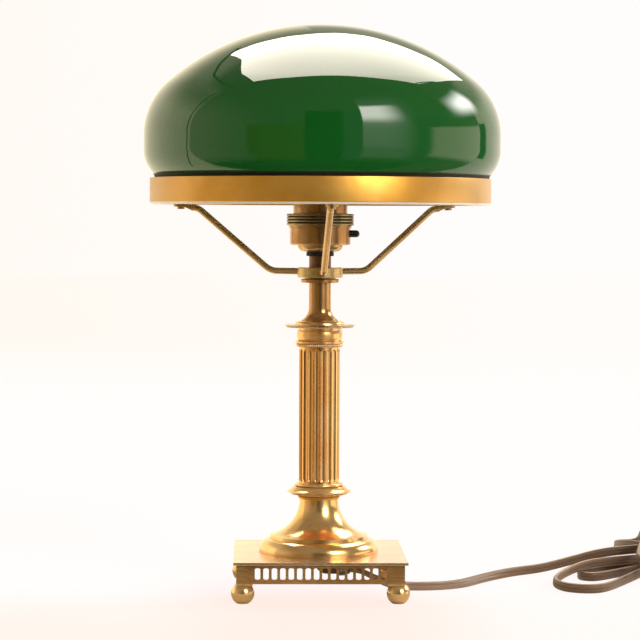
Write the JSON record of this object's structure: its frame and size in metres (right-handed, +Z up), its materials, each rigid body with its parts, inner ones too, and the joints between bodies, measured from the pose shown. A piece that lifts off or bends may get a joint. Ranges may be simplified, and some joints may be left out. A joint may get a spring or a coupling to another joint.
{
  "type": "table lamp",
  "caption": "Table lamp with a domed coloured glass shade on a three-armed ring, a fluted brass column, a pierced square foot on ball feet, a screw lampholder with a push bar, and a cord.",
  "frame": {"origin": "centre of the square foot, on the floor, in line with the column's axis", "axes": "+Z up along the column, +X to the lamp's right, -Y to the front, square with the foot's sides"},
  "size_m": [0.4696, 0.2904, 0.4002],
  "materials": {
    "brass_polished": "polished",
    "brass_column": "satin",
    "brass_satin": "brushed",
    "brass_aged": "aged",
    "steel": "plated",
    "green_glass": "gloss",
    "clear_glass": "gloss",
    "black_plastic": "gloss",
    "insulator": "moulded",
    "cord_plastic": "gloss",
    "plug_plastic": "moulded",
    "tie_plastic": "matt",
    "nickel": "plated"
  },
  "bodies": {
    "lamp": {"arm_front": "brass_aged", "arm_hub": "brass_polished", "arm_left": "brass_aged", "arm_right": "brass_aged", "arm_screws": "brass_aged", "base_dome": "brass_polished", "base_nut": "steel", "base_plate": "brass_satin", "base_washer": "steel", "capital": "brass_column", "capital_bead_ring": "brass_column", "centre_contact": "nickel", "cord_hank": "cord_plastic", "cord_run": "cord_plastic", "cord_saddle": "steel", "cord_tie": "tie_plastic", "corner_post_back_left": "brass_polished", "corner_post_back_right": "brass_polished", "corner_post_front_left": "brass_polished", "corner_post_front_right": "brass_polished", "drip_disc": "brass_polished", "fluted_column": "brass_column", "foot_back_left": "brass_polished", "foot_back_right": "brass_polished", "foot_bead_ring": "brass_column", "foot_front_left": "brass_polished", "foot_front_right": "brass_polished", "foot_studs": "steel", "gallery_back": "brass_satin", "gallery_front": "brass_satin", "gallery_left": "brass_satin", "gallery_right": "brass_satin", "holder_cap": "brass_aged", "holder_gasket": "black_plastic", "holder_insulator": "insulator", "holder_ring": "brass_aged", "holder_skirt": "brass_aged", "holder_spacer": "brass_aged", "inner_lead": "cord_plastic", "lamp_tube": "steel", "neck": "brass_polished", "neck_collar": "brass_polished", "plug_body": "plug_plastic", "plug_pins": "nickel", "saddle_screws": "steel", "saucer": "brass_polished", "screw_shell": "nickel", "shade_ring": "brass_satin", "terminal_screws": "steel"},
    "shade": {"shade_glass": "green_glass"},
    "bulb_tip": {"bulb_contact": "nickel"},
    "bulb": {"bulb_cap": "nickel", "bulb_glass": "clear_glass", "bulb_insulator": "black_plastic"},
    "switch": {"switch_bar": "black_plastic"}
  },
  "joints": [
    {"name": "shade_lift", "type": "slide", "parent": "lamp", "child": "shade", "axis": [0, 0, 1], "range_m": [0, 0.13]},
    {"name": "bulb_rise", "type": "slide", "parent": "lamp", "child": "bulb_tip", "axis": [0, 0, 1], "range_m": [0, 0.024]},
    {"name": "bulb_turn", "type": "hinge", "parent": "bulb_tip", "child": "bulb", "pos_m": [0, 0, 0.3], "axis": [0, 0, 1], "range_deg": [0, 2376]},
    {"name": "switch_push", "type": "slide", "parent": "lamp", "child": "switch", "axis": [-1, 0, 0], "range_m": [0, 0.006]}
  ],
  "couplings": [
    {"joint": "bulb_rise", "follows": "bulb_turn", "m_per_rad": 0.00057296}
  ]
}
